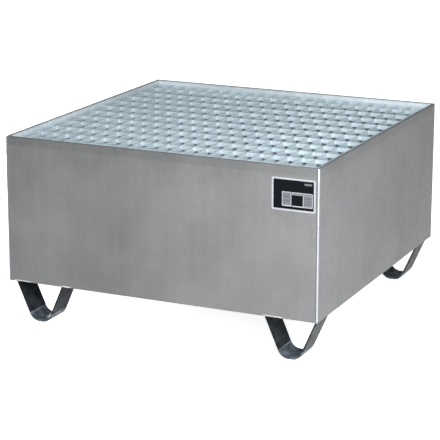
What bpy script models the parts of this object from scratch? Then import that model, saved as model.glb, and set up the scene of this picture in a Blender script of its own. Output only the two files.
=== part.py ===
"""A spill containment pallet: a welded sump tub on four bent feet, with a lift-out bar grating.

Metres, +Z up. The origin is on the floor under the middle of the tub. The rating plate is on the
front wall, which faces -Y.
"""

import math

import bmesh
import bpy
from mathutils import Vector

# Tub
TUB_WIDTH = 0.800
TUB_DEPTH = 0.800
TUB_HEIGHT = 0.356
SHEET = 0.003
HEM_DEPTH = 0.020
HEM_LEAN = 0.001
CORNER_GROOVE = 0.005
CORNER_CROWN = 0.0008
CORNER_WELD_DROP = 0.001
FLOOR_WELD = 0.004

# Feet
FOOT_HEIGHT = 0.102
FOOT_WIDTH = 0.072
FOOT_STRAP = 0.004
FOOT_BEND_RADIUS = 0.026
FOOT_PAD = 0.006
FOOT_LEG_ANGLE = math.radians(66.5)
FOOT_SIDE_MARGIN = 0.006
FOOT_FRONT_MARGIN = 0.019

# Ledges that carry the grating
LEDGE_LEG = 0.030
LEDGE_THICKNESS = 0.003

# Grating
GRATING_RECESS = 0.012
GRATING_CLEARANCE = 0.003
BEARING_BARS = 23
BEARING_BAR_DEPTH = 0.030
BEARING_BAR_THICKNESS = 0.003
BEARING_EDGE_CELL = 0.43  # the last gap at each side, as a share of the pitch
CROSS_BARS = 11
CROSS_BAR_DEPTH = 0.010
CROSS_BAR_THICKNESS = 0.003
CROSS_EDGE_CELL = 0.71
BAND_THICKNESS = 0.003

# Rating plate
PLATE_WIDTH = 0.105
PLATE_HEIGHT = 0.075
PLATE_THICKNESS = 0.0004
PLATE_SIDE_MARGIN = 0.008
PLATE_TOP_MARGIN = 0.028

# Fits
SEAT_GAP = 0.0003
ARC_STEPS = 8
SHARP_ANGLE = math.radians(35)

# Places worked out from the sizes above
FLOOR_UNDERSIDE = FOOT_HEIGHT
RIM_TOP = FLOOR_UNDERSIDE + TUB_HEIGHT
GRATING_TOP = RIM_TOP - GRATING_RECESS
GRATING_UNDERSIDE = GRATING_TOP - BEARING_BAR_DEPTH
LEDGE_TOP = GRATING_UNDERSIDE - SEAT_GAP
RIM_THICKNESS = 2 * SHEET + HEM_LEAN
GRATING_HALF_WIDTH = TUB_WIDTH / 2 - RIM_THICKNESS - GRATING_CLEARANCE
GRATING_HALF_DEPTH = TUB_DEPTH / 2 - RIM_THICKNESS - GRATING_CLEARANCE

# Each side of the tub: its name, its quarter turns about Z from the front, the distance from the
# middle of the tub to its outer face, and half its length.
SIDES = (
    ("front", 0, TUB_DEPTH / 2, TUB_WIDTH / 2),
    ("right", 1, TUB_WIDTH / 2, TUB_DEPTH / 2),
    ("back", 2, TUB_DEPTH / 2, TUB_WIDTH / 2),
    ("left", 3, TUB_WIDTH / 2, TUB_DEPTH / 2),
)

# Each corner: its name, its quarter turns about Z from the front right, and its signs in X and Y.
CORNERS = (
    ("front_right", 0, 1, -1),
    ("back_right", 1, 1, 1),
    ("back_left", 2, -1, 1),
    ("front_left", 3, -1, -1),
)


def clear_scene():
    for old in list(bpy.data.objects):
        bpy.data.objects.remove(old, do_unlink=True)


def make_material(name, colour, roughness, metallic):
    material = bpy.data.materials.new(name)
    material.use_nodes = True
    shader = material.node_tree.nodes["Principled BSDF"]
    shader.inputs["Base Color"].default_value = (*colour, 1)
    shader.inputs["Roughness"].default_value = roughness
    shader.inputs["Metallic"].default_value = metallic
    return material


def galvanised_sheet():
    return make_material("galvanised_sheet", (0.33, 0.34, 0.35), 0.5, 0.9)


def weld_metal():
    return make_material("weld_metal", (0.62, 0.64, 0.66), 0.35, 1.0)


def galvanised_bar():
    return make_material("galvanised_bar", (0.55, 0.62, 0.67), 0.4, 0.9)


def dark_strap():
    return make_material("dark_strap", (0.12, 0.13, 0.14), 0.35, 0.9)


def plate_film():
    return make_material("plate_film", (0.02, 0.02, 0.022), 0.4, 0.0)


def loft(name, rings):
    """A closed mesh through rings of as many points each, with a flat cap at each end."""
    shape = bmesh.new()
    loops = [[shape.verts.new(point) for point in ring] for ring in rings]
    for lower, upper in zip(loops, loops[1:]):
        for i in range(len(lower)):
            j = (i + 1) % len(lower)
            shape.faces.new((lower[i], lower[j], upper[j], upper[i]))
    shape.faces.new(list(reversed(loops[0])))
    shape.faces.new(loops[-1])
    bmesh.ops.recalc_face_normals(shape, faces=shape.faces)
    mesh = bpy.data.meshes.new(name)
    shape.to_mesh(mesh)
    shape.free()
    mesh.shade_smooth()
    mesh.set_sharp_from_angle(angle=SHARP_ANGLE)
    return mesh


def add_object(name, mesh, material, location=(0, 0, 0), quarter_turns=0, parent=None):
    piece = bpy.data.objects.new(name, mesh)
    piece.data.materials.append(material)
    piece.location = location
    piece.rotation_euler.z = quarter_turns * math.pi / 2
    piece.parent = parent
    bpy.context.scene.collection.objects.link(piece)
    return piece


def add_empty(name, location):
    empty = bpy.data.objects.new(name, None)
    empty.location = location
    bpy.context.scene.collection.objects.link(empty)
    return empty


def arc(centre, radius, start, end, steps=ARC_STEPS):
    """Points on a circle from one angle to another, both included."""
    points = []
    for i in range(steps + 1):
        angle = start + (end - start) * i / steps
        points.append((centre[0] + radius * math.cos(angle), centre[1] + radius * math.sin(angle)))
    return points


def side_place(quarter_turns, reach, height):
    """The middle of a tub side's outer face, at a height."""
    angle = quarter_turns * math.pi / 2
    return Vector((reach * math.sin(angle), -reach * math.cos(angle), height))


def side_run(name, outline, half_length, near_end, far_end):
    """A length of sheet or angle along one side of the tub, from its outline across the side.

    The outline's points are (distance in from the outer face, height). Both ends are cut along a
    straight line seen from above, through two points given as (distance in, distance back from the
    tub's corner).
    """
    slope = (far_end[1] - near_end[1]) / (far_end[0] - near_end[0])
    first = []
    last = []
    for inward, height in outline:
        end = half_length - near_end[1] - slope * (inward - near_end[0])
        first.append((-end, inward, height))
        last.append((end, inward, height))
    return loft(name, (first, last))


def wall_end(inward):
    """How far back from the corner a wall ends, at a distance in from its outer face.

    The ends leave the weld's groove open outside and let the two hems just clear each other.
    """
    slope = (RIM_THICKNESS + SEAT_GAP - CORNER_GROOVE) / RIM_THICKNESS
    return CORNER_GROOVE + slope * inward


def wall_outline():
    """The sheet with its top folded inwards and down into a closed hem."""
    hem_foot = TUB_HEIGHT - HEM_DEPTH
    crown = arc((HEM_LEAN + SHEET, TUB_HEIGHT - SHEET), SHEET, math.pi, 0)
    return [(0, 0), (0, hem_foot), *crown, (2 * SHEET, hem_foot), (SHEET, hem_foot), (SHEET, 0)]


def add_walls(material):
    near_end = (0, wall_end(0))
    far_end = (RIM_THICKNESS, wall_end(RIM_THICKNESS))
    for side, turns, reach, half_length in SIDES:
        name = side + "_wall"
        mesh = side_run(name, wall_outline(), half_length, near_end, far_end)
        add_object(name, mesh, material, side_place(turns, reach, FLOOR_UNDERSIDE), turns)


def inner_corner():
    """How far back from a corner a piece inside the tub starts, to clear the weld's root."""
    return wall_end(SHEET) + SEAT_GAP


def add_floor(material):
    """The plate between the walls, with its corners cut off to clear the corner welds."""
    seat = SHEET + SEAT_GAP
    half_width = TUB_WIDTH / 2 - seat
    half_depth = TUB_DEPTH / 2 - seat
    cut_width = TUB_WIDTH / 2 - inner_corner()
    cut_depth = TUB_DEPTH / 2 - inner_corner()
    outline = (
        (-cut_width, -half_depth),
        (cut_width, -half_depth),
        (half_width, -cut_depth),
        (half_width, cut_depth),
        (cut_width, half_depth),
        (-cut_width, half_depth),
        (-half_width, cut_depth),
        (-half_width, -cut_depth),
    )
    low = [(x, y, 0) for x, y in outline]
    high = [(x, y, SHEET) for x, y in outline]
    add_object("floor_plate", loft("floor_plate", (low, high)), material, (0, 0, FLOOR_UNDERSIDE))


def corner_weld_ring(root, height):
    """The weld between two walls at one height, as distances in from the two outer faces.

    Outside, an arc through the groove's two edges stands proud of both faces by the crown. Inside,
    the weld follows the walls' ends to a flat root.
    """
    edge = CORNER_GROOVE - SEAT_GAP
    reach = edge + CORNER_CROWN
    centre = reach - math.sqrt(2 * CORNER_CROWN * reach)
    radius = centre + CORNER_CROWN
    start = math.atan2(centre, edge - centre)
    crown = arc((centre, centre), radius, -start, start - 1.5 * math.pi)
    root_end = wall_end(root) - SEAT_GAP
    outline = [*crown, (root, root_end), (root_end, root)]
    return [(-x, y, height) for x, y in outline]


def add_corner_welds(material):
    """One vertical bead on each corner, with a deeper root where it closes the hems' corner."""
    hem_foot = TUB_HEIGHT - HEM_DEPTH
    hem_root = RIM_THICKNESS - SEAT_GAP
    rings = (
        corner_weld_ring(SHEET, 0),
        corner_weld_ring(SHEET, hem_foot - SHEET),
        corner_weld_ring(hem_root, hem_foot),
        corner_weld_ring(hem_root, TUB_HEIGHT - CORNER_WELD_DROP),
    )
    for corner, turns, x_side, y_side in CORNERS:
        name = corner + "_corner_weld"
        place = (x_side * TUB_WIDTH / 2, y_side * TUB_DEPTH / 2, FLOOR_UNDERSIDE)
        add_object(name, loft(name, rings), material, place, turns)


def add_floor_welds(material):
    """A fillet along each side, in the corner between floor and wall inside the tub."""
    seat = SHEET + SEAT_GAP
    toe = seat + FLOOR_WELD
    bulge = seat + 0.6 * FLOOR_WELD
    outline = [(seat, seat), (toe, seat), (bulge, bulge), (seat, toe)]
    for side, turns, reach, half_length in SIDES:
        name = side + "_floor_weld"
        mesh = side_run(name, outline, half_length, (seat, inner_corner()), (toe, toe + SEAT_GAP))
        add_object(name, mesh, material, side_place(turns, reach, FLOOR_UNDERSIDE), turns)


def add_ledges(material):
    """An angle along each side, its heel against the wall and its top leg pointing inwards."""
    heel = SHEET + SEAT_GAP
    web = heel + LEDGE_THICKNESS
    tip = heel + LEDGE_LEG
    outline = [
        (heel, 0),
        (tip, 0),
        (tip, -LEDGE_THICKNESS),
        (web, -LEDGE_THICKNESS),
        (web, -LEDGE_LEG),
        (heel, -LEDGE_LEG),
    ]
    for side, turns, reach, half_length in SIDES:
        name = side + "_ledge"
        mesh = side_run(name, outline, half_length, (heel, inner_corner()), (tip, tip + SEAT_GAP))
        add_object(name, mesh, material, side_place(turns, reach, LEDGE_TOP), turns)


def strap_side(radius):
    """Points up the right-hand side of a foot, from the end of its pad to the top of its leg.

    The radius is the outside of the bend for the strap's lower face and its inside for the upper
    one. Both bends share a centre, and the leg leaves them at its own angle.
    """
    outer_radius = FOOT_BEND_RADIUS + FOOT_STRAP
    centre = (FOOT_PAD / 2, outer_radius)
    start = -math.pi / 2
    points = arc(centre, radius, start, start + FOOT_LEG_ANGLE)
    bend_end = points[-1]
    top = FOOT_HEIGHT - SEAT_GAP
    run = (top - bend_end[1]) / math.tan(FOOT_LEG_ANGLE)
    return [*points, (bend_end[0] + run, top)]


def foot_outline():
    """The bent strap from the front: down one leg, across the pad and up the other."""
    lower = strap_side(FOOT_BEND_RADIUS + FOOT_STRAP)
    upper = strap_side(FOOT_BEND_RADIUS)
    lower_left = [(-x, z) for x, z in reversed(lower)]
    upper_left = [(-x, z) for x, z in upper]
    return [*lower_left, *lower, *reversed(upper), *upper_left]


def add_feet(material):
    outline = foot_outline()
    half_span = max(x for x, _ in outline)
    x_middle = TUB_WIDTH / 2 - FOOT_SIDE_MARGIN - half_span
    y_middle = TUB_DEPTH / 2 - FOOT_FRONT_MARGIN - FOOT_WIDTH / 2
    near = [(x, -FOOT_WIDTH / 2, z) for x, z in outline]
    far = [(x, FOOT_WIDTH / 2, z) for x, z in outline]
    for corner, _, x_side, y_side in CORNERS:
        name = corner + "_foot"
        place = (x_side * x_middle, y_side * y_middle, 0)
        add_object(name, loft(name, (near, far)), material, place)


def bar(name, half_length, thickness, depth, along_x):
    """A plain flat bar on edge, its top at Z = 0, about its own middle."""
    half = thickness / 2
    section = ((-half, 0), (half, 0), (half, -depth), (-half, -depth))
    if along_x:
        first = [(-half_length, side, z) for side, z in section]
        last = [(half_length, side, z) for side, z in section]
    else:
        first = [(side, -half_length, z) for side, z in section]
        last = [(side, half_length, z) for side, z in section]
    return loft(name, (first, last))


def bar_rows(half_size, count, edge_cell):
    """Even positions about the middle, whose last gaps to the bands are shares of the pitch."""
    half_count = (count - 1) / 2
    pitch = (half_size - BAND_THICKNESS / 2) / (half_count + edge_cell)
    return [(i - half_count) * pitch for i in range(count)]


def slotted_bar(name, half_length, slots):
    """A bearing bar along Y, its top at Z = 0, with a slot in its top edge for each cross bar."""
    half_slot = CROSS_BAR_THICKNESS / 2 + SEAT_GAP
    slot_depth = CROSS_BAR_DEPTH + SEAT_GAP
    outline = [(half_length, -BEARING_BAR_DEPTH), (-half_length, -BEARING_BAR_DEPTH), (-half_length, 0)]
    for middle in slots:
        outline.append((middle - half_slot, 0))
        outline.append((middle - half_slot, -slot_depth))
        outline.append((middle + half_slot, -slot_depth))
        outline.append((middle + half_slot, 0))
    outline.append((half_length, 0))
    half = BEARING_BAR_THICKNESS / 2
    return loft(name, ([(-half, y, z) for y, z in outline], [(half, y, z) for y, z in outline]))


def add_grating(material):
    """Bearing bars front to back, cross bars let into them, and a banding bar round the edge."""
    frame = add_empty("grating_lift_axis", (0, 0, GRATING_TOP))
    cross_rows = bar_rows(GRATING_HALF_DEPTH, CROSS_BARS, CROSS_EDGE_CELL)
    bearing_rows = bar_rows(GRATING_HALF_WIDTH, BEARING_BARS, BEARING_EDGE_CELL)
    inner_half_depth = GRATING_HALF_DEPTH - BAND_THICKNESS - SEAT_GAP
    inner_half_width = GRATING_HALF_WIDTH - BAND_THICKNESS - SEAT_GAP
    for number, x in enumerate(bearing_rows, start=1):
        name = f"bearing_bar_{number:02d}"
        add_object(name, slotted_bar(name, inner_half_depth, cross_rows), material, (x, 0, 0), 0, frame)
    for number, y in enumerate(cross_rows, start=1):
        name = f"cross_bar_{number:02d}"
        mesh = bar(name, inner_half_width, CROSS_BAR_THICKNESS, CROSS_BAR_DEPTH, True)
        add_object(name, mesh, material, (0, y, 0), 0, frame)
    side_x = GRATING_HALF_WIDTH - BAND_THICKNESS / 2
    end_y = GRATING_HALF_DEPTH - BAND_THICKNESS / 2
    for name, x in (("left_band", -side_x), ("right_band", side_x)):
        mesh = bar(name, inner_half_depth, BAND_THICKNESS, BEARING_BAR_DEPTH, False)
        add_object(name, mesh, material, (x, 0, 0), 0, frame)
    for name, y in (("front_band", -end_y), ("back_band", end_y)):
        mesh = bar(name, GRATING_HALF_WIDTH, BAND_THICKNESS, BEARING_BAR_DEPTH, True)
        add_object(name, mesh, material, (0, y, 0), 0, frame)


def add_rating_plate(material):
    """A thin plate on the front wall, near its top right corner, clear of the hem's lean."""
    right = TUB_WIDTH / 2 - PLATE_SIDE_MARGIN
    top = RIM_TOP - PLATE_TOP_MARGIN
    back = -TUB_DEPTH / 2 - SEAT_GAP
    front = back - PLATE_THICKNESS
    corners = ((right - PLATE_WIDTH, top - PLATE_HEIGHT), (right, top - PLATE_HEIGHT))
    corners += ((right, top), (right - PLATE_WIDTH, top))
    first = [(x, front, z) for x, z in corners]
    last = [(x, back, z) for x, z in corners]
    add_object("rating_plate", loft("rating_plate", (first, last)), material)


def main():
    clear_scene()
    sheet = galvanised_sheet()
    weld = weld_metal()
    add_floor(sheet)
    add_walls(sheet)
    add_ledges(sheet)
    add_corner_welds(weld)
    add_floor_welds(weld)
    add_feet(dark_strap())
    add_grating(galvanised_bar())
    add_rating_plate(plate_film())


main()
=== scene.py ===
"""Looks for the spill containment pallet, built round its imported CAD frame. Metres, +Z up."""

import math

import bmesh
import bpy
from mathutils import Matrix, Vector, noise


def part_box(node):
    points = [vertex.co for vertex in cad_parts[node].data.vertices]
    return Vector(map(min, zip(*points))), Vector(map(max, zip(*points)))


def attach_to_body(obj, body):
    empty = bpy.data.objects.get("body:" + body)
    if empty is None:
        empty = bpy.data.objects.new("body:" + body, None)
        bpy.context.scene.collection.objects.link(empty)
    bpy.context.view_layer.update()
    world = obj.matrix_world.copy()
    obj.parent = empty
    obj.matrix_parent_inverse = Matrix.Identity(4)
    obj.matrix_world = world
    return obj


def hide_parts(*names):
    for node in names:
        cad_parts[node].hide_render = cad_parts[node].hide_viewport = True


SIDES = ("front", "right", "back", "left")
CORNERS = ("front_right", "back_right", "back_left", "front_left")

# Camera: a long lens at the photograph's angle
CAMERA_AZIMUTH = math.radians(24.86)
CAMERA_ELEVATION = math.radians(15.08)
CAMERA_PLACE = (1.8107, -3.9619, 1.3727)
CAMERA_LENS = 147.18
CAMERA_SENSOR = 36

# Studio light: an even glow from all round and a floor lit from within
HORIZON_LIGHT = 0.13
ZENITH_LIGHT = 0.18
FLOOR_GLOW = 0.77
FLOOR_SIZE = 40
FLOOR_DROP = 0.0005

# A distant key lamp from the front right, two near lamps by the front right corner, and a low one behind
KEY_AZIMUTH = math.radians(37)
KEY_ELEVATION = math.radians(38)
KEY_STRENGTH = 2.3
KEY_SPREAD = math.radians(12)
FRONT_LAMP_PLACE = (0.9, -1.5, 0.9)
FRONT_LAMP_POWER = 27.5
SIDE_LAMP_PLACE = (1.3, -1.05, 0.95)
SIDE_LAMP_POWER = 17
LAMP_TARGET = (0.25, -0.2, 0.35)
LAMP_SIZE = 0.8
BACK_LAMP_PLACE = (-1.4, 1.5, 0.26)
BACK_LAMP_TARGET = (-0.2, 0.2, 0.26)
BACK_LAMP_POWER = 34
BACK_LAMP_SIZE = 0.45

# How far a rolled or sheared edge is rounded
SHEET_EDGE = 0.0006
BAR_EDGE = 0.0004
STRAP_EDGE = 0.0009

# Beads: the spacing of their scallops, and the outside corner bead's section
WELD_RIPPLE = 0.0032
CORNER_EDGE = 0.0047
CORNER_ROOT = 0.0030
CORNER_ROOT_END = 0.00568
CORNER_DIP = 0.00042
CORNER_LUMP = 0.0002
FLOOR_WELD_INSET = 0.003

# The fillets at a foot's legs: the angle of the legs to the floor, and the fillets' size and end gap
FOOT_LEG_LEAN = math.radians(66.5)
FOOT_FILLET = 0.0042
FOOT_FILLET_INSET = 0.002

# The walls' slight draw between their welds
WAVE_CUTS = 24
WAVE_MARGIN = 0.020
WAVE_DEPTH = 0.0007

# Beads on the end walls' lower edges: from and to, as shares of a foot's half span, and section
EDGE_BEAD_REACH = ((-0.92, -0.15), (0.95, 1.45))
EDGE_BEAD_PROUD = 0.0007
EDGE_BEAD_HALF = 0.0018
EDGE_BEAD_LIFT = 0.0004
EDGE_BEAD_END_GAP = 0.008
EDGE_BEAD_SHORTEST = 0.01

# Zinc in the corners of the grating's crossings
CROSSING_LEG = 0.0012
CROSSING_SINK = 0.0002
CROSSING_END_GAP = 0.0004

# The rating plate: its light rim's width, and how many films its thickness is divided into
PLATE_RIM = 0.0042
PLATE_FILMS = 5

# Finishes, some with painted light and shade. Depths are measured down from the rim, and the values that
# darken or lighten multiply the base colour
SHEET_OUTER = (0.0995, 0.1025, 0.104, 1)
# Painted light: the faces inside the tub take a much paler colour, fading to a darker line along the rim's
# crown
SHEET_INNER_PAINTED_LIGHT = (0.48, 0.54, 0.58, 1)
SHEET_INSIDE = 0.3965
SHEET_INSIDE_ABOVE_FLOOR = 0.001
SHEET_METAL = 0.2
RIM_CROWN_DARKER = 0.3
RIM_DEPTHS = (0.0035, 0.0012)
# Painted shade: a darker band along the hem's outer face, just under the rim
HEM_PAINTED_SHADE = 0.86
HEM_DEPTHS = (0.024, 0.018)
BEAD_COLOUR = (0.34, 0.35, 0.38, 1)
# Painted shade at the bead's toes and lower down, leaving a painted highlight along the crown and towards
# the top
BEAD_TOE_SHADE = 0.35
BEAD_TOE_REACHES = (0.0042, 0.0016)
BEAD_LOWER_SHADE = 0.72
BEAD_LOWER_DEPTHS = (0.034, 0.020)
WELD_COLOUR = (0.66, 0.69, 0.71, 1)
EDGE_ZINC_COLOUR = (0.44, 0.45, 0.46, 1)
BAR_COLOUR = (0.435, 0.52, 0.565, 1)
BAR_METAL = 0.3
# Painted shade: the strap's near-black colour stands in for the shadow under the tub
STRAP_PAINTED_SHADE_COLOUR = (0.0105, 0.0128, 0.0155, 1)
STRAP_BEND_TOP = 0.0205
# Painted light makes the strap paler low down, and a painted highlight lies in a stripe across the start of
# each bend
STRAP_LOW_PAINTED_LIGHT = 4.2
STRAP_BEND_HIGHLIGHT = 13.0
PLATE_RIM_COLOUR = (0.24, 0.24, 0.265, 1)
PLATE_FIELD_COLOUR = (0.002, 0.003, 0.004, 1)
PLATE_CELL_COLOUR = (0.084, 0.089, 0.098, 1)
PLATE_MARK_COLOUR = (0.055, 0.055, 0.06, 1)
FLOOR_COLOUR = (0.92, 0.92, 0.92, 1)


class Graph:
    """A material's node tree, with short calls that return output sockets."""

    def __init__(self, name):
        self.material = bpy.data.materials.new(name)
        self.material.use_nodes = True
        self.tree = self.material.node_tree
        self.shader = self.tree.nodes["Principled BSDF"]
        coordinates = self.tree.nodes.new("ShaderNodeTexCoord")
        self.place = coordinates.outputs["Object"]

    def node(self, kind, inputs, output=0, **settings):
        made = self.tree.nodes.new(kind)
        for key, value in settings.items():
            setattr(made, key, value)
        for key, value in inputs.items():
            self.feed(made.inputs[key], value)
        return made.outputs[output]

    def feed(self, socket, value):
        if isinstance(value, bpy.types.NodeSocket):
            self.tree.links.new(value, socket)
        else:
            socket.default_value = value

    def math(self, operation, a, b=0.0):
        return self.node("ShaderNodeMath", {0: a, 1: b}, operation=operation)

    def axis(self, name):
        """One coordinate of the place on the object: "X", "Y" or "Z"."""
        return self.node("ShaderNodeSeparateXYZ", {0: self.place}, name)

    def stretch(self, scale):
        return self.node("ShaderNodeMapping", {"Vector": self.place, "Scale": scale})

    def noise(self, scale, detail=3.0, roughness=0.55, place=None):
        inputs = {"Vector": place or self.place, "Scale": scale, "Detail": detail, "Roughness": roughness}
        return self.node("ShaderNodeTexNoise", inputs)

    def cells(self, scale, randomness=1.0):
        """A random value for each crystal."""
        inputs = {"Vector": self.place, "Scale": scale, "Randomness": randomness}
        colour = self.node("ShaderNodeTexVoronoi", inputs, "Color")
        return self.node("ShaderNodeSeparateColor", {0: colour}, 0)

    def span(self, value, low, high, to_low=0.0, to_high=1.0):
        """Maps low..high smoothly onto to_low..to_high and holds the ends."""
        inputs = {"Value": value, "From Min": low, "From Max": high, "To Min": to_low, "To Max": to_high}
        return self.node("ShaderNodeMapRange", inputs, interpolation_type="SMOOTHSTEP")

    def mix(self, kind, factor, a, b):
        made = self.tree.nodes.new("ShaderNodeMix")
        made.data_type = "RGBA"
        made.blend_type = kind
        for index, value in ((0, factor), (6, a), (7, b)):
            self.feed(made.inputs[index], value)
        return made.outputs[2]

    def blend(self, factor, a, b):
        return self.mix("MIX", factor, a, b)

    def tint(self, colour, value):
        """A colour made lighter or darker by a value about 1."""
        grey = self.node("ShaderNodeCombineColor", {0: value, 1: value, 2: value})
        return self.mix("MULTIPLY", 1.0, colour, grey)

    def bump(self, height, distance):
        inputs = {"Height": height, "Distance": distance, "Strength": 1.0}
        self.feed(self.shader.inputs["Normal"], self.node("ShaderNodeBump", inputs))

    def finish(self, colour, roughness, metallic):
        self.feed(self.shader.inputs["Base Color"], colour)
        self.feed(self.shader.inputs["Roughness"], roughness)
        self.shader.inputs["Metallic"].default_value = metallic
        return self.material


def sum_of(graph, *values):
    total = values[0]
    for value in values[1:]:
        total = graph.math("ADD", total, value)
    return total


def galvanised_sheet_and_painted_light(rim_top, tub_floor):
    """Zinc on sheet: small crystals, cloudy patches and faint runs down the sheet.

    The hem's outer face carries a band of painted shade, and the faces inside the tub are paler than those
    outside with painted light, which fades to a darker line along the rim's crown.
    """
    g = Graph("galvanised_sheet_and_painted_light")
    crystals = g.span(g.cells(130), 0, 1, -0.045, 0.045)
    patches = g.span(g.noise(9), 0.3, 0.7, -0.08, 0.08)
    clouds = g.span(g.noise(2.6, 2), 0.35, 0.65, -0.06, 0.06)
    runs = g.span(g.noise(1, 3, 0.6, g.stretch((55, 55, 2.5))), 0.3, 0.7, -0.035, 0.035)
    height = g.axis("Z")
    # Painted shade: a darker band along the hem's outer face, just under the rim
    hem = g.span(height, rim_top - HEM_DEPTHS[0], rim_top - HEM_DEPTHS[1], 1.0, HEM_PAINTED_SHADE)
    shade = sum_of(g, crystals, patches, clouds, runs, 1.0)
    # Painted light: the faces inside the tub get the much paler colour, which fades to a darker line along
    # the rim's crown
    reach = g.math("MAXIMUM", g.math("ABSOLUTE", g.axis("X")), g.math("ABSOLUTE", g.axis("Y")))
    inside = g.math("LESS_THAN", reach, SHEET_INSIDE)
    inside = g.math("MULTIPLY", inside, g.math("GREATER_THAN", height, tub_floor))
    outer = g.tint(SHEET_OUTER, g.math("MULTIPLY", shade, hem))
    crown = g.span(height, rim_top - RIM_DEPTHS[0], rim_top - RIM_DEPTHS[1], 1.0, RIM_CROWN_DARKER)
    inner = g.tint(SHEET_INNER_PAINTED_LIGHT, g.math("MULTIPLY", shade, crown))
    colour = g.blend(inside, outer, inner)
    roughness = g.span(g.cells(130), 0, 1, 0.52, 0.64)
    grain = g.math("ADD", g.noise(700, 2), g.math("MULTIPLY", g.noise(60, 2), 2.0))
    g.bump(grain, 0.00012)
    return g.finish(colour, roughness, SHEET_METAL)


def galvanised_bar_finish():
    """Thick zinc on the bars: pale and bluish, a little uneven."""
    g = Graph("galvanised_bar_finish")
    patches = g.span(g.noise(40), 0.3, 0.7, -0.08, 0.08)
    crystals = g.span(g.cells(260), 0, 1, -0.05, 0.05)
    shade = sum_of(g, patches, crystals, 1.0)
    colour = g.tint(BAR_COLOUR, shade)
    roughness = g.span(g.noise(90), 0.3, 0.7, 0.36, 0.5)
    g.bump(g.noise(500, 2), 0.0001)
    return g.finish(colour, roughness, BAR_METAL)


def weld_finish():
    """Bright metal for the beads under the floor and inside the tub."""
    g = Graph("weld_finish")
    shade = g.span(g.noise(260), 0.3, 0.7, 0.85, 1.15)
    colour = g.tint(WELD_COLOUR, shade)
    g.bump(g.noise(900, 2), 0.0001)
    return g.finish(colour, g.span(g.noise(150), 0.3, 0.7, 0.25, 0.4), 0.9)


def corner_bead_and_painted_highlight(rim_top, face):
    """Bright along the crown and towards the top, and darker at the toes and lower down: a painted
    highlight and painted shade.
    """
    g = Graph("corner_bead_and_painted_highlight")
    # Painted highlight along the crown and towards the top, and painted shade at the toes and lower down
    across = g.math("MINIMUM", g.math("ABSOLUTE", g.axis("X")), g.math("ABSOLUTE", g.axis("Y")))
    crown = g.span(across, face - BEAD_TOE_REACHES[0], face - BEAD_TOE_REACHES[1], BEAD_TOE_SHADE, 1.0)
    low, high = (rim_top - depth for depth in BEAD_LOWER_DEPTHS)
    upper = g.span(g.axis("Z"), low, high, BEAD_LOWER_SHADE, 1.0)
    speckle = g.span(g.noise(260), 0.3, 0.7, 0.88, 1.12)
    shade = g.math("MULTIPLY", g.math("MULTIPLY", crown, upper), speckle)
    g.bump(g.noise(900, 2), 0.0001)
    return g.finish(g.tint(BEAD_COLOUR, shade), g.span(g.noise(150), 0.3, 0.7, 0.4, 0.55), 0.3)


def strap_and_painted_shade():
    """Near-black strap: painted shade for the shadow under the tub. Dulled in patches, with painted light
    low on the bends and a painted highlight across the start of each bend.
    """
    g = Graph("strap_and_painted_shade")
    g.shader.inputs["Specular IOR Level"].default_value = 0.03
    patches = g.span(g.noise(45), 0.35, 0.7, 0.7, 1.9)
    height = g.axis("Z")
    # Painted light: the strap is paler low down, over its bends and the flat on the floor
    low = g.span(height, STRAP_BEND_TOP - 0.004, STRAP_BEND_TOP + 0.001, STRAP_LOW_PAINTED_LIGHT, 1.0)
    # Painted highlight: a pale stripe across the start of each bend
    wander = g.math("MULTIPLY", g.noise(120), 0.002)
    near = g.math("ABSOLUTE", g.math("SUBTRACT", g.math("ADD", height, wander), STRAP_BEND_TOP))
    bend_highlight = g.span(near, 0.0004, 0.0022, STRAP_BEND_HIGHLIGHT, 0.0)
    bend_highlight = g.math("MULTIPLY", bend_highlight, g.span(g.noise(12), 0.35, 0.6, 0.25, 1.0))
    shade = g.math("ADD", g.math("MULTIPLY", patches, low), bend_highlight)
    g.bump(g.noise(420, 3), 0.0001)
    # Painted shade: the near-black base colour stands in for the shadow under the tub
    return g.finish(g.tint(STRAP_PAINTED_SHADE_COLOUR, shade), g.span(g.noise(80), 0.3, 0.7, 0.34, 0.46), 0.0)


def edge_zinc_finish():
    """Pale uneven zinc on the walls' lower edges."""
    g = Graph("edge_zinc_finish")
    shade = g.span(g.noise(210), 0.3, 0.7, 0.6, 1.25)
    g.bump(g.noise(900, 2), 0.0001)
    return g.finish(g.tint(EDGE_ZINC_COLOUR, shade), g.span(g.noise(150), 0.3, 0.7, 0.4, 0.55), 0.2)


def film_finish(name, colour):
    """A satin film on the rating plate."""
    g = Graph(name)
    g.shader.inputs["Specular IOR Level"].default_value = 0.04
    shade = g.span(g.noise(700, 2), 0.3, 0.7, 0.9, 1.1)
    g.bump(g.noise(1500, 1), 0.00002)
    return g.finish(g.tint(colour, shade), g.span(g.noise(160), 0.3, 0.7, 0.55, 0.65), 0.0)


def floor_finish():
    """A pale floor lit from within, as a light table is, so that shadows on it stay faint."""
    g = Graph("floor_finish")
    colour = g.tint(FLOOR_COLOUR, g.span(g.noise(3), 0.3, 0.7, 0.995, 1.0))
    g.shader.inputs["Emission Color"].default_value = (1, 1, 1, 1)
    g.shader.inputs["Emission Strength"].default_value = FLOOR_GLOW
    return g.finish(colour, 0.7, 0.0)


def new_piece(name, shape, material):
    mesh = bpy.data.meshes.new(name)
    bmesh.ops.recalc_face_normals(shape, faces=shape.faces)
    shape.to_mesh(mesh)
    shape.free()
    if "custom_normal" in mesh.attributes:
        mesh.attributes.remove(mesh.attributes["custom_normal"])
    mesh.materials.clear()
    mesh.materials.append(material)
    piece = bpy.data.objects.new(name, mesh)
    bpy.context.scene.collection.objects.link(piece)
    return piece


def settle(piece):
    """Smooth shading that leaves the flats flat."""
    piece.data.shade_smooth()
    piece.modifiers.new("weighted", "WEIGHTED_NORMAL")


def attach(piece, body, slot, *nodes):
    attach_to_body(piece, body)
    if nodes:
        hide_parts(*nodes)


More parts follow.
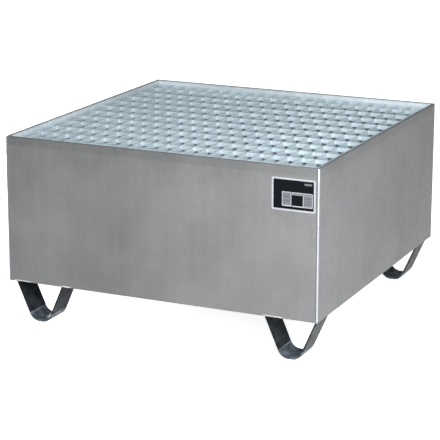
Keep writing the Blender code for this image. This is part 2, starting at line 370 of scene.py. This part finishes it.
def rest_shape(node):
    """The CAD node's own shape, with its split triangles joined back into flat faces."""
    shape = bmesh.new()
    shape.from_mesh(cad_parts[node].data)
    bmesh.ops.remove_doubles(shape, verts=shape.verts, dist=1e-6)
    bmesh.ops.dissolve_limit(shape, angle_limit=math.radians(1), verts=shape.verts, edges=shape.edges)
    return shape


def round_edges(shape, width, segments=2):
    sharp = [e for e in shape.edges if e.is_manifold and e.calc_face_angle() > math.radians(30)]
    bmesh.ops.bevel(
        shape, geom=sharp, offset=width, segments=segments, profile=0.6, affect="EDGES", clamp_overlap=True
    )


def refine(node, body, slot, material, width):
    """A copy of a CAD node with its edges rounded, shown in its place."""
    shape = rest_shape(node)
    round_edges(shape, width)
    piece = new_piece(f"{node}_finished", shape, material)
    settle(piece)
    attach(piece, body, slot, node)


def cut_across(shape, axis, places):
    for place in places:
        point = Vector((0, 0, 0))
        point[axis] = place
        normal = Vector((0, 0, 0))
        normal[axis] = 1
        everything = [*shape.verts, *shape.edges, *shape.faces]
        bmesh.ops.bisect_plane(shape, geom=everything, plane_co=point, plane_no=normal)


def side_axes(side, low, high):
    """The axis that runs along a side, the one that points out of it, and its outer face's place."""
    along = 0 if side in ("front", "back") else 1
    outward = 1 - along
    outer = low[outward] if abs(low[outward]) > abs(high[outward]) else high[outward]
    return along, outward, outer


def add_wall(side, material):
    """The wall sheet, drawn very slightly inwards between its welds as thin welded sheet is."""
    node = f"{side}_wall"
    shape = rest_shape(node)
    low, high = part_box(node)
    along, outward, outer = side_axes(side, low, high)
    inward = -1 if outer > 0 else 1
    half = high[along]
    cut_across(shape, along, [half * (2 * i / WAVE_CUTS - 1) for i in range(1, WAVE_CUTS)])
    wave_low = low.z + WAVE_MARGIN
    wave_high = high.z - 2.2 * WAVE_MARGIN
    cut_across(shape, 2, [wave_low + (wave_high - wave_low) * i / 8 for i in range(9)])
    for vertex in shape.verts:
        place = vertex.co
        across = 1 - abs(place[along] / half) ** 6
        level = (place.z - wave_low) / (wave_high - wave_low)
        if 0 < level < 1:
            lift = math.sin(math.pi * level) * across
            swell = 0.5 + 0.5 * noise.noise(place * 5.5 + Vector((3, 7, 11)))
            vertex.co[outward] += inward * WAVE_DEPTH * lift * swell
    round_edges(shape, SHEET_EDGE)
    piece = new_piece(f"{node}_finished", shape, material)
    settle(piece)
    attach(piece, "tub", "galvanised_sheet", node)


def add_rings(shape, rings):
    """Joins rings of as many points each into one closed skin in the shape."""
    loops = [[shape.verts.new(point) for point in ring] for ring in rings]
    for lower, upper in zip(loops, loops[1:]):
        for i in range(len(lower)):
            j = (i + 1) % len(lower)
            shape.faces.new((lower[i], lower[j], upper[j], upper[i]))
    shape.faces.new(loops[0])
    shape.faces.new(loops[-1])


def ripple(distance, across):
    """The scallops of a hand-laid bead: 0 on a crest and 1 between two."""
    wander = 0.35 * noise.noise(Vector((distance * 90, 0.5, across)))
    phase = distance / WELD_RIPPLE - 0.55 * across * across + wander
    return 0.5 - 0.5 * math.cos(2 * math.pi * phase)


def add_corner_weld(corner, material):
    """The outside corner's bead, its crown rippled inside the CAD bead's own outline."""
    node = f"{corner}_corner_weld"
    low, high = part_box(node)
    x_side = 1 if low.x > 0 else -1
    y_side = 1 if low.y > 0 else -1
    proud = max(abs(low.x), abs(high.x))
    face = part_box("right_wall")[1].x
    crown = proud - face
    reach = CORNER_EDGE + crown
    centre = reach - math.sqrt(2 * crown * reach)
    radius = centre + crown
    start = math.atan2(centre, CORNER_EDGE - centre)
    steps = 12
    rings = []
    count = int((high.z - low.z) / (WELD_RIPPLE / 5))
    for k in range(count + 1):
        z = low.z + (high.z - low.z) * k / count
        ring = []
        for i in range(steps + 1):
            across = 2 * i / steps - 1
            angle = -start + (2 * start - 1.5 * math.pi) * i / steps
            dip = CORNER_DIP * ripple(z, across) * (1 - across**4)
            lump = CORNER_LUMP * (0.5 + 0.5 * noise.noise(Vector((z * 70, face, across)))) * (1 - across**4)
            r = radius - dip - lump
            ring.append((centre + r * math.cos(angle), centre + r * math.sin(angle)))
        ring.append((CORNER_ROOT, CORNER_ROOT_END))
        ring.append((CORNER_ROOT_END, CORNER_ROOT))
        rings.append([(x_side * (face - a), y_side * (face - b), z) for a, b in ring])
    shape = bmesh.new()
    add_rings(shape, rings)
    piece = new_piece(f"{node}_bead", shape, material)
    piece.data.shade_smooth()
    attach(piece, "tub", "weld_metal", node)


def add_fillet(shape, start, end, first, second, size):
    """A rippled fillet bead from start to end, with its toes along two directions from the root."""
    start = Vector(start)
    end = Vector(end)
    length = (end - start).length
    count = max(8, int(length / (WELD_RIPPLE / 4)))
    rings = []
    for k in range(count + 1):
        share = k / count
        root = start.lerp(end, share)
        edge = min(share, 1 - share) * length / size
        scale = 0.35 + 0.65 * math.sqrt(1 - (1 - min(1, edge)) ** 2)
        wobble = 1 + 0.08 * noise.noise(root * 60)
        ring = [root]
        for i in range(7):
            across = i / 3 - 1
            turn = math.pi / 4 * (1 + across)
            bulge = 1 - 0.22 * math.sin(2 * turn) - 0.12 * ripple(share * length, across) * (1 - across**4)
            width = size * scale * wobble * bulge
            ring.append(root + width * (math.cos(turn) * first + math.sin(turn) * second))
        rings.append(ring)
    add_rings(shape, rings)


def add_floor_weld(side, material):
    """The fillet inside the tub, between the floor and one wall."""
    node = f"{side}_floor_weld"
    low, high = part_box(node)
    along, outward, outer = side_axes(side, low, high)
    start = Vector((0, 0, low.z))
    start[outward] = outer
    end = start.copy()
    start[along] = low[along] + FLOOR_WELD_INSET
    end[along] = high[along] - FLOOR_WELD_INSET
    inward = Vector((0, 0, 0))
    inward[outward] = -1 if outer > 0 else 1
    shape = bmesh.new()
    add_fillet(shape, start, end, inward, Vector((0, 0, 1)), high.z - low.z)
    piece = new_piece(f"{node}_bead", shape, material)
    piece.data.shade_smooth()
    attach(piece, "tub", "weld_metal", node)


def proud_room(x):
    """How far a bead may spread from a leg before it passes the tub's own side."""
    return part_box("right_wall")[1].x - abs(x)


def add_foot_welds(corner, material):
    """Fillets that join the two legs of a foot to the floor above them."""
    node = f"{corner}_foot"
    low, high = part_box(node)
    places = [v.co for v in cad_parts[node].data.vertices]
    tops = sorted({round(p.x, 5) for p in places if p.z > high.z - 1e-4})
    middle = (low.x + high.x) / 2
    shape = bmesh.new()
    for x in tops:
        leg_side = 1 if x > middle else -1
        inner = x == tops[1] or x == tops[2]
        away = -leg_side if inner else leg_side
        leg = Vector((-leg_side * math.cos(FOOT_LEG_LEAN), 0, -math.sin(FOOT_LEG_LEAN)))
        start = (x, low.y + FOOT_FILLET_INSET, high.z)
        end = (x, high.y - FOOT_FILLET_INSET, high.z)
        size = FOOT_FILLET if inner else min(FOOT_FILLET, proud_room(x))
        add_fillet(shape, start, end, Vector((away, 0, 0)), leg, size)
    piece = new_piece(f"{node}_welds", shape, material)
    piece.data.shade_smooth()
    attach(piece, "tub", "weld_metal")


def add_edge_beads(corner, material):
    """Zinc that has hung in short beads on the end wall's lower edge, beside each leg."""
    low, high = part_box(f"{corner}_foot")
    wall_low, wall_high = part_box("front_wall" if low.y < 0 else "back_wall")
    outward = -1 if low.y < 0 else 1
    face = wall_low.y if low.y < 0 else wall_high.y
    middle = (low.x + high.x) / 2
    span = high.x - middle
    shape = bmesh.new()
    limit = wall_high.x - EDGE_BEAD_END_GAP
    bottom = wall_low.z + EDGE_BEAD_LIFT
    for first, last in EDGE_BEAD_REACH:
        start = middle + span * first
        end = min(middle + span * last, limit)
        if end - start < EDGE_BEAD_SHORTEST:
            continue
        count = int((end - start) / (WELD_RIPPLE / 4))
        rings = []
        for k in range(count + 1):
            share = k / count
            x = start + (end - start) * share
            swell = 0.75 + 0.5 * noise.noise(Vector((x * 60, face, 9)))
            taper = swell * math.sqrt(max(0.02, 1 - abs(2 * share - 1) ** 3))
            wander = 1 + 0.35 * noise.noise(Vector((x * 130, face, 4)))
            dip = 1 - 0.25 * ripple(abs(x), 0)
            ring = []
            for i in range(9):
                turn = math.pi * i / 8
                reach = face + outward * EDGE_BEAD_PROUD * (taper * dip * math.sin(turn) - 0.15)
                height = bottom + EDGE_BEAD_HALF * (1 + taper * wander * math.cos(turn) * 0.8)
                ring.append((x, reach, height))
            rings.append(ring)
        add_rings(shape, rings)
    piece = new_piece(f"{corner}_edge_beads", shape, material)
    piece.data.shade_smooth()
    attach(piece, "tub", "weld_metal")


def add_crossing_zinc(material):
    """The zinc that fills the four corners of each crossing in the grating."""
    bearing = [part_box(n) for n in sorted(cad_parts) if n.startswith("bearing_bar_")]
    cross = [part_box(n) for n in sorted(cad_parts) if n.startswith("cross_bar_")]
    leg = CROSSING_LEG
    sink = CROSSING_SINK
    shape = bmesh.new()
    for bearing_low, bearing_high in bearing:
        for cross_low, cross_high in cross:
            for x, x_side in ((bearing_low.x, -1), (bearing_high.x, 1)):
                for y, y_side in ((cross_low.y, -1), (cross_high.y, 1)):
                    outline = (
                        (x - sink * x_side, y - sink * y_side),
                        (x + leg * x_side, y - sink * y_side),
                        (x + 0.35 * leg * x_side, y + 0.35 * leg * y_side),
                        (x - sink * x_side, y + leg * y_side),
                    )
                    low = [(a, b, cross_low.z + CROSSING_END_GAP) for a, b in outline]
                    high = [(a, b, cross_high.z - CROSSING_END_GAP) for a, b in outline]
                    add_rings(shape, (low, high))
    piece = new_piece("grating_crossing_zinc", shape, material)
    attach(piece, "grating", "galvanised_bar")


def rounded(x0, z0, x1, z1, radius):
    """The outline of a rectangle with rounded corners."""
    outline = []
    steps = 5
    for cx, cz, turn in ((x1, z1, 0), (x0, z1, 1), (x0, z0, 2), (x1, z0, 3)):
        x = cx - radius if cx == x1 else cx + radius
        z = cz - radius if cz == z1 else cz + radius
        for i in range(steps + 1):
            angle = math.pi / 2 * (turn + i / steps)
            outline.append((x + radius * math.cos(angle), z + radius * math.sin(angle)))
    return outline


def add_plate(materials):
    """The rating plate: a light rim, a dark field and plain blank cells, with no lettering."""
    low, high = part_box("rating_plate")
    light, dark, cell, ink = materials
    film = (high.y - low.y) / PLATE_FILMS
    field_x = low.x + PLATE_RIM
    field_z = low.z + PLATE_RIM
    width = high.x - low.x - 2 * PLATE_RIM
    height = high.z - low.z - 2 * PLATE_RIM

    def layer(name, material, boxes, level, radius):
        """Boxes given as shares of the dark field, from its top left corner."""
        shape = bmesh.new()
        front = high.y - (level + 1) * film
        back = high.y - level * film
        for u0, v0, u1, v1 in boxes:
            x0, x1 = field_x + u0 * width, field_x + u1 * width
            z0, z1 = field_z + (1 - v1) * height, field_z + (1 - v0) * height
            outline = rounded(x0, z0, x1, z1, min(radius, 0.45 * (x1 - x0), 0.45 * (z1 - z0)))
            add_rings(shape, ([(x, front, z) for x, z in outline], [(x, back, z) for x, z in outline]))
        piece = new_piece(f"rating_plate_{name}", shape, material)
        attach(piece, "tub", "plate_film", *(["rating_plate"] if name == "base" else []))

    rim_u = PLATE_RIM / width
    rim_v = PLATE_RIM / height
    layer("base", light, [(-rim_u, -rim_v, 1 + rim_u, 1 + rim_v)], 0, 0.004)
    layer("field", dark, [(0, 0, 1, 1)], 1, 0.0015)
    layer("lines", light, [
        (0.215, 0.41, 0.445, 0.905), (0.46, 0.41, 0.975, 0.50), (0.46, 0.87, 0.975, 0.905),
        (0.735, 0.49, 0.975, 0.88),
    ], 2, 0.0008)
    layer("cells", cell, [
        (0.23, 0.435, 0.43, 0.865), (0.475, 0.435, 0.96, 0.485), (0.75, 0.51, 0.96, 0.86),
        (0.765, 0.075, 0.955, 0.14),
    ], 3, 0.0006)
    layer("marks", ink, [
        (0.25, 0.56, 0.41, 0.58), (0.25, 0.70, 0.41, 0.72),
        (0.77, 0.58, 0.94, 0.60), (0.77, 0.67, 0.94, 0.69), (0.77, 0.76, 0.94, 0.78),
    ], 4, 0.0003)


def add_camera():
    camera = bpy.data.objects.new("camera", bpy.data.cameras.new("camera"))
    camera.data.lens = CAMERA_LENS
    camera.data.sensor_width = CAMERA_SENSOR
    camera.data.clip_start = 0.05
    camera.data.clip_end = 100
    level = math.cos(CAMERA_ELEVATION)
    back = Vector((
        math.sin(CAMERA_AZIMUTH) * level,
        -math.cos(CAMERA_AZIMUTH) * level,
        math.sin(CAMERA_ELEVATION),
    ))
    camera.location = CAMERA_PLACE
    camera.rotation_mode = "QUATERNION"
    camera.rotation_quaternion = (-back).to_track_quat("-Z", "Y")
    bpy.context.scene.collection.objects.link(camera)
    bpy.context.scene.camera = camera


def add_lamp(name, kind, place, target, energy, **settings):
    lamp = bpy.data.lights.new(name, kind)
    lamp.energy = energy
    for key, value in settings.items():
        setattr(lamp, key, value)
    holder = bpy.data.objects.new(name, lamp)
    holder.location = place
    holder.rotation_mode = "QUATERNION"
    holder.rotation_quaternion = (Vector(target) - Vector(place)).to_track_quat("-Z", "Y")
    holder.visible_camera = False
    bpy.context.scene.collection.objects.link(holder)


def add_studio():
    """Lights, backdrop and floor."""
    world = bpy.data.worlds.new("studio")
    world.use_nodes = True
    tree = world.node_tree
    direction = tree.nodes.new("ShaderNodeTexCoord")
    split = tree.nodes.new("ShaderNodeSeparateXYZ")
    tree.links.new(direction.outputs["Generated"], split.inputs[0])
    ramp = tree.nodes.new("ShaderNodeMapRange")
    ramp.inputs["To Min"].default_value = HORIZON_LIGHT
    ramp.inputs["To Max"].default_value = ZENITH_LIGHT
    tree.links.new(split.outputs["Z"], ramp.inputs["Value"])
    tree.links.new(ramp.outputs[0], tree.nodes["Background"].inputs["Color"])
    bpy.context.scene.world = world
    bpy.context.scene.view_settings.view_transform = "Standard"
    level = math.cos(KEY_ELEVATION)
    key_place = (math.sin(KEY_AZIMUTH) * level, -math.cos(KEY_AZIMUTH) * level, math.sin(KEY_ELEVATION))
    add_lamp("key", "SUN", key_place, (0, 0, 0), KEY_STRENGTH, angle=KEY_SPREAD)
    for name, place, target, power, size in (
        ("front_lamp", FRONT_LAMP_PLACE, LAMP_TARGET, FRONT_LAMP_POWER, LAMP_SIZE),
        ("side_lamp", SIDE_LAMP_PLACE, LAMP_TARGET, SIDE_LAMP_POWER, LAMP_SIZE),
        ("back_lamp", BACK_LAMP_PLACE, BACK_LAMP_TARGET, BACK_LAMP_POWER, BACK_LAMP_SIZE),
    ):
        add_lamp(name, "AREA", place, target, power, shape="SQUARE", size=size)

    ground = bmesh.new()
    bmesh.ops.create_grid(ground, x_segments=1, y_segments=1, size=FLOOR_SIZE)
    floor = new_piece("studio_floor", ground, floor_finish())
    floor.location.z = -FLOOR_DROP


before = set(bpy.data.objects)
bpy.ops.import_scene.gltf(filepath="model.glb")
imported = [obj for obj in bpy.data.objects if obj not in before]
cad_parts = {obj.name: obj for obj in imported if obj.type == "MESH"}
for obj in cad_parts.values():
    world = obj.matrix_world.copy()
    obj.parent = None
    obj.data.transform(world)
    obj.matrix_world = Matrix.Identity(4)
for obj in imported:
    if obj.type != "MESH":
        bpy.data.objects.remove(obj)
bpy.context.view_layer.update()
rim_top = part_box("front_wall")[1].z

add_camera()
add_studio()

sheet = galvanised_sheet_and_painted_light(rim_top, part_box("floor_plate")[0].z + SHEET_INSIDE_ABOVE_FLOOR)
bars = galvanised_bar_finish()
weld = weld_finish()
corner_bead = corner_bead_and_painted_highlight(rim_top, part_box("right_wall")[1].x)
strap = strap_and_painted_shade()
edge_zinc = edge_zinc_finish()

for side in SIDES:
    add_wall(side, sheet)
    refine(f"{side}_ledge", "tub", "galvanised_sheet", sheet, SHEET_EDGE)
    add_floor_weld(side, weld)
for corner in CORNERS:
    add_corner_weld(corner, corner_bead)
    refine(f"{corner}_foot", "tub", "dark_strap", strap, STRAP_EDGE)
    add_foot_welds(corner, weld)
    add_edge_beads(corner, edge_zinc)
refine("floor_plate", "tub", "galvanised_sheet", sheet, SHEET_EDGE)
add_plate((
    film_finish("plate_rim_finish", PLATE_RIM_COLOUR),
    film_finish("plate_field_finish", PLATE_FIELD_COLOUR),
    film_finish("plate_cell_finish", PLATE_CELL_COLOUR),
    film_finish("plate_mark_finish", PLATE_MARK_COLOUR),
))
for node in sorted(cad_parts):
    if "bar_" in node or node.endswith("_band"):
        refine(node, "grating", "galvanised_bar", bars, BAR_EDGE)
add_crossing_zinc(bars)
